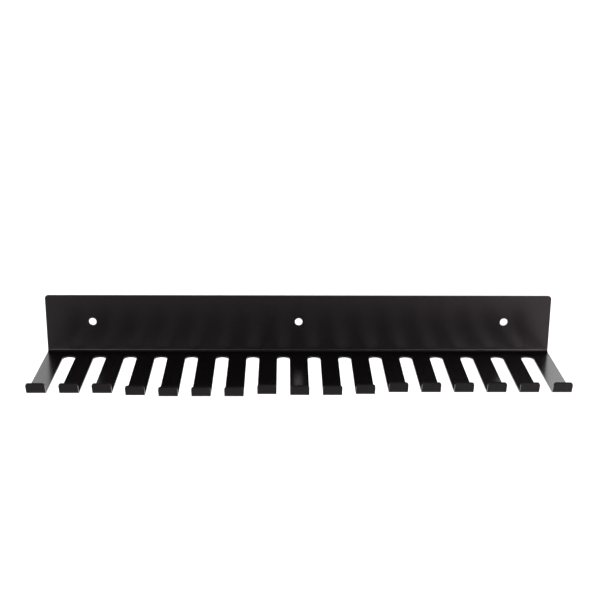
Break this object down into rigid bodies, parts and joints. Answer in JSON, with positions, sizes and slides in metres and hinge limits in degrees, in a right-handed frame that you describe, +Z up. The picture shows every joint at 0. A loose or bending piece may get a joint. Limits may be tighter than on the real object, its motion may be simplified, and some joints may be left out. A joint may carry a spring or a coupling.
{
  "type": "wall cue rack",
  "caption": "Wall rack folded from one steel sheet: a flat back plate with screw holes and a comb shelf whose fingers end in upturned lips.",
  "frame": {"origin": "on the wall plane, at the axis of the middle screw hole", "axes": "+X along the rack, to the right seen from the front; +Y into the wall, so the fingers point to -Y; +Z up"},
  "size_m": [0.6, 0.1322, 0.0775],
  "materials": {
    "satin_black_powder_coat": "satin black powder coat on steel"
  },
  "bodies": {
    "root": {"folded_comb_sheet": "satin_black_powder_coat"}
  },
  "joints": []
}
